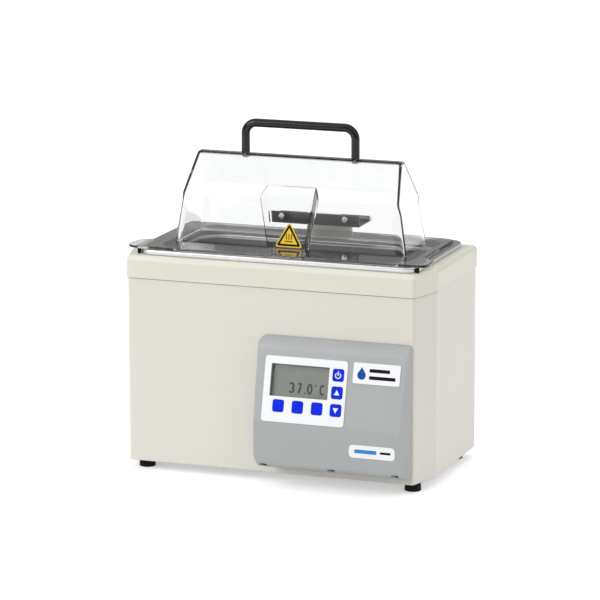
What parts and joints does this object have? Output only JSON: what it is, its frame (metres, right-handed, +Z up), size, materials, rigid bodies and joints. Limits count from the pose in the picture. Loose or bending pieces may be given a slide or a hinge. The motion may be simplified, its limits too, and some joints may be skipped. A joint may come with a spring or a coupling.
{
  "type": "laboratory water bath",
  "caption": "Heated lab water bath: painted steel case, stainless tank, sloping control panel with display and keys, and a clear gable lid that hinges at the rear.",
  "frame": {"origin": "centre of the whole part's footprint, on the surface its feet stand on", "axes": "+Z up, -Y is the front with the control panel, +X to the right seen from the front"},
  "size_m": [0.371, 0.2341, 0.3999],
  "materials": {
    "case_paint": "semi-gloss powder coat, cream white",
    "stainless": "deep-drawn stainless, fine brushed",
    "hinge_steel": "dark stainless sheet",
    "hinge_stand": "cream powder coat",
    "insulation": "matted mineral fibre blanket",
    "heater_silicone": "moulded silicone sheet",
    "dark_plastic": "moulded black, fine texture",
    "circuit_board": "green solder mask",
    "core_steel": "varnished steel laminations",
    "coil": "taped copper winding",
    "fascia_grey": "moulded grey, fine spark texture",
    "keypad_film": "satin white polyester film",
    "display": "grey-green liquid crystal",
    "display_lens": "clear acrylic window",
    "plate_film": "satin white film plate",
    "sticker_film": "yellow vinyl film",
    "clear_lid": "clear thermoformed polycarbonate",
    "handle_black": "black gloss coated bar",
    "key_blue": "satin blue cap",
    "lead_red": "silicone insulated lead",
    "lead_black": "PVC insulated lead",
    "screw_zinc": "bright zinc plate",
    "foot_rubber": "moulded black rubber",
    "dark_screw": "black oxide"
  },
  "bodies": {
    "housing": {"keypad_overlay": "keypad_film", "display_window": "display_lens", "display_module": "display", "control_board": "circuit_board", "badge_plate": "plate_film", "label_plate": "plate_film", "outer_case": "case_paint", "top_cover": "case_paint", "base_pan": "stainless", "rear_panel": "case_paint", "tank": "stainless", "tank_insulation": "insulation", "heater_pad": "heater_silicone", "tank_probe": "stainless", "overtemp_cutout": "dark_plastic", "power_board": "circuit_board", "transformer_core": "core_steel", "transformer_coil": "coil", "heater_lead": "lead_red", "probe_lead": "lead_black", "mains_lead": "lead_black", "foot_front_left": "foot_rubber", "foot_screw_front_left": "screw_zinc", "foot_front_right": "foot_rubber", "foot_screw_front_right": "screw_zinc", "foot_rear_left": "foot_rubber", "foot_screw_rear_left": "screw_zinc", "foot_rear_right": "foot_rubber", "foot_screw_rear_right": "screw_zinc", "fascia": "fascia_grey", "fascia_screw_left": "dark_screw", "fascia_screw_middle": "dark_screw", "fascia_screw_right": "dark_screw", "hinge_stand": "hinge_stand", "hinge_pin": "stainless", "hinge_stand_screw_left": "screw_zinc", "hinge_stand_screw_right": "screw_zinc", "inlet_socket": "dark_plastic", "switch_frame": "dark_plastic", "rear_screw_low_left": "screw_zinc", "rear_screw_low_right": "screw_zinc", "rear_screw_high_left": "screw_zinc", "rear_screw_high_right": "screw_zinc"},
    "lid": {"lid_shell": "clear_lid", "lid_handle": "handle_black", "caution_sticker": "sticker_film", "hinge_leaf": "hinge_steel", "handle_screw_left": "screw_zinc", "handle_screw_right": "screw_zinc", "hinge_leaf_screw_left": "screw_zinc", "hinge_leaf_screw_right": "screw_zinc"},
    "rocker": {"power_rocker": "dark_plastic"},
    "fuse_holder": {"fuse_drawer": "dark_plastic"},
    "tray": {"diffuser_tray": "stainless"},
    "button_down": {"key_down": "key_blue"},
    "button_up": {"key_up": "key_blue"},
    "button_power": {"key_power": "key_blue"},
    "button_soft_left": {"key_soft_left": "key_blue"},
    "button_soft_middle": {"key_soft_middle": "key_blue"},
    "button_soft_right": {"key_soft_right": "key_blue"}
  },
  "joints": [
    {"name": "lid_hinge", "type": "hinge", "parent": "housing", "child": "lid", "pos_m": [0.0055, 0.09155, 0.276], "axis": [-1, 0, 0], "range_deg": [0, 100]},
    {"name": "tray_lift", "type": "slide", "parent": "housing", "child": "tray", "axis": [0, 0, 1], "range_m": [0, 0.12]},
    {"name": "power_switch", "type": "hinge", "parent": "housing", "child": "rocker", "pos_m": [0.04, 0.11105, 0.054], "axis": [1, 0, 0], "range_deg": [0, 13]},
    {"name": "fuse_pull", "type": "slide", "parent": "housing", "child": "fuse_holder", "axis": [0, 1, 0], "range_m": [0, 0.012]},
    {"name": "press_down", "type": "slide", "parent": "housing", "child": "button_down", "axis": [0, 0.9701, -0.2425], "range_m": [0, 0.0006], "stiffness_N_per_m": 500},
    {"name": "press_up", "type": "slide", "parent": "housing", "child": "button_up", "axis": [0, 0.9701, -0.2425], "range_m": [0, 0.0006], "stiffness_N_per_m": 500},
    {"name": "press_power", "type": "slide", "parent": "housing", "child": "button_power", "axis": [0, 0.9701, -0.2425], "range_m": [0, 0.0006], "stiffness_N_per_m": 500},
    {"name": "press_soft_left", "type": "slide", "parent": "housing", "child": "button_soft_left", "axis": [0, 0.9701, -0.2425], "range_m": [0, 0.0006], "stiffness_N_per_m": 500},
    {"name": "press_soft_middle", "type": "slide", "parent": "housing", "child": "button_soft_middle", "axis": [0, 0.9701, -0.2425], "range_m": [0, 0.0006], "stiffness_N_per_m": 500},
    {"name": "press_soft_right", "type": "slide", "parent": "housing", "child": "button_soft_right", "axis": [0, 0.9701, -0.2425], "range_m": [0, 0.0006], "stiffness_N_per_m": 500}
  ]
}
